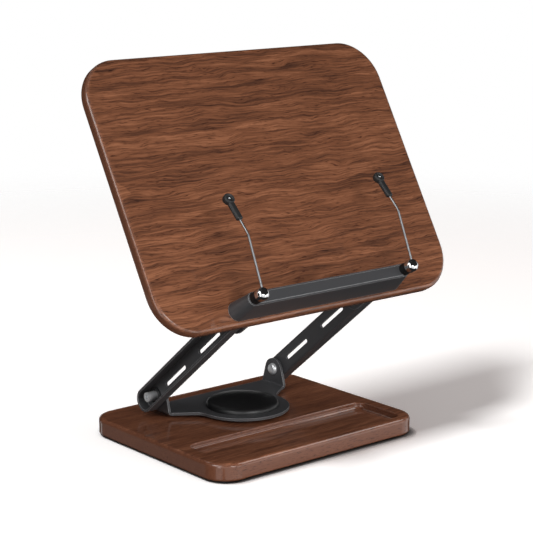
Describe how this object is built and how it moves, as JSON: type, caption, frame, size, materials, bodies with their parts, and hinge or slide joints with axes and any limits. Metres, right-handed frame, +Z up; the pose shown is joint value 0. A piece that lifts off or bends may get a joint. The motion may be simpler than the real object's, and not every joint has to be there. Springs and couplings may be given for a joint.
{
  "type": "book stand",
  "caption": "Tabletop reading stand: wooden base with pen tray, turning steel bracket, folding channel arms, and a tilting wooden board with a ledge and page clips.",
  "frame": {"origin": "on the swivel axis at table level, under the middle of the centre pad", "axes": "+X to the reader's right, +Y away from the reader, +Z up"},
  "size_m": [0.342, 0.2224, 0.3567],
  "materials": {
    "walnut": "satin lacquered walnut",
    "black_steel": "satin black powder coat",
    "charcoal_metal": "satin charcoal powder coat",
    "gloss_black": "moulded, semi gloss",
    "black_plastic": "moulded, matt",
    "black_rubber": "moulded, matt",
    "bright_steel": "bright zinc plated",
    "chrome": "polished",
    "black_nylon": "moulded nylon, matt"
  },
  "bodies": {
    "base": {"base_board": "walnut", "base_feet": "black_rubber", "centre_pad": "black_rubber", "swivel_bolt": "bright_steel", "swivel_bolt_washer": "bright_steel", "thrust_washer": "black_nylon", "swivel_spring_washer": "bright_steel", "swivel_lock_nut": "bright_steel"},
    "swivel": {"swivel_bracket": "black_steel", "swivel_bush": "black_nylon", "dome_cap": "gloss_black", "left_lower_bolt": "bright_steel", "right_lower_bolt": "bright_steel", "lower_pivot_nuts": "bright_steel", "lower_pivot_washers": "black_nylon"},
    "arms": {"left_arm": "black_steel", "right_arm": "black_steel", "lower_arm_bushes": "black_nylon", "upper_arm_bushes": "black_nylon"},
    "board": {"reading_board": "walnut", "board_bracket": "black_steel", "bracket_screws": "bright_steel", "left_upper_bolt": "bright_steel", "right_upper_bolt": "bright_steel", "upper_pivot_nuts": "bright_steel", "upper_pivot_washers": "black_nylon", "ledge": "charcoal_metal", "ledge_screws": "bright_steel", "clip_friction_rings": "black_rubber"},
    "left_stem": {"left_clip_stem": "black_plastic", "left_snap_ring": "bright_steel"},
    "left_clip": {"left_clip_knob": "chrome", "left_clip_wire": "bright_steel", "left_clip_tip": "black_rubber"},
    "right_stem": {"right_clip_stem": "black_plastic", "right_snap_ring": "bright_steel"},
    "right_clip": {"right_clip_knob": "chrome", "right_clip_wire": "bright_steel", "right_clip_tip": "black_rubber"}
  },
  "joints": [
    {"name": "swivel_turn", "type": "hinge", "parent": "base", "child": "swivel", "pos_m": [0, 0, 0.021], "axis": [0, 0, 1], "continuous": true},
    {"name": "arm_lift", "type": "hinge", "parent": "swivel", "child": "arms", "pos_m": [0, 0.037, 0.0385], "axis": [1, 0, 0], "range_deg": [-10, 37]},
    {"name": "board_tilt", "type": "hinge", "parent": "arms", "child": "board", "pos_m": [0, -0.07588, 0.13188], "axis": [1, 0, 0], "range_deg": [-90, 12]},
    {"name": "left_clip_pull", "type": "slide", "parent": "board", "child": "left_stem", "axis": [0, -0.866, 0.5], "range_m": [0, 0.012]},
    {"name": "left_clip_turn", "type": "hinge", "parent": "left_stem", "child": "left_clip", "pos_m": [-0.08785, -0.13129, 0.16751], "axis": [0, -0.866, 0.5], "range_deg": [-60, 90]},
    {"name": "right_clip_pull", "type": "slide", "parent": "board", "child": "right_stem", "axis": [0, -0.866, 0.5], "range_m": [0, 0.012]},
    {"name": "right_clip_turn", "type": "hinge", "parent": "right_stem", "child": "right_clip", "pos_m": [0.08785, -0.13129, 0.16751], "axis": [0, -0.866, 0.5], "range_deg": [-90, 60]}
  ]
}
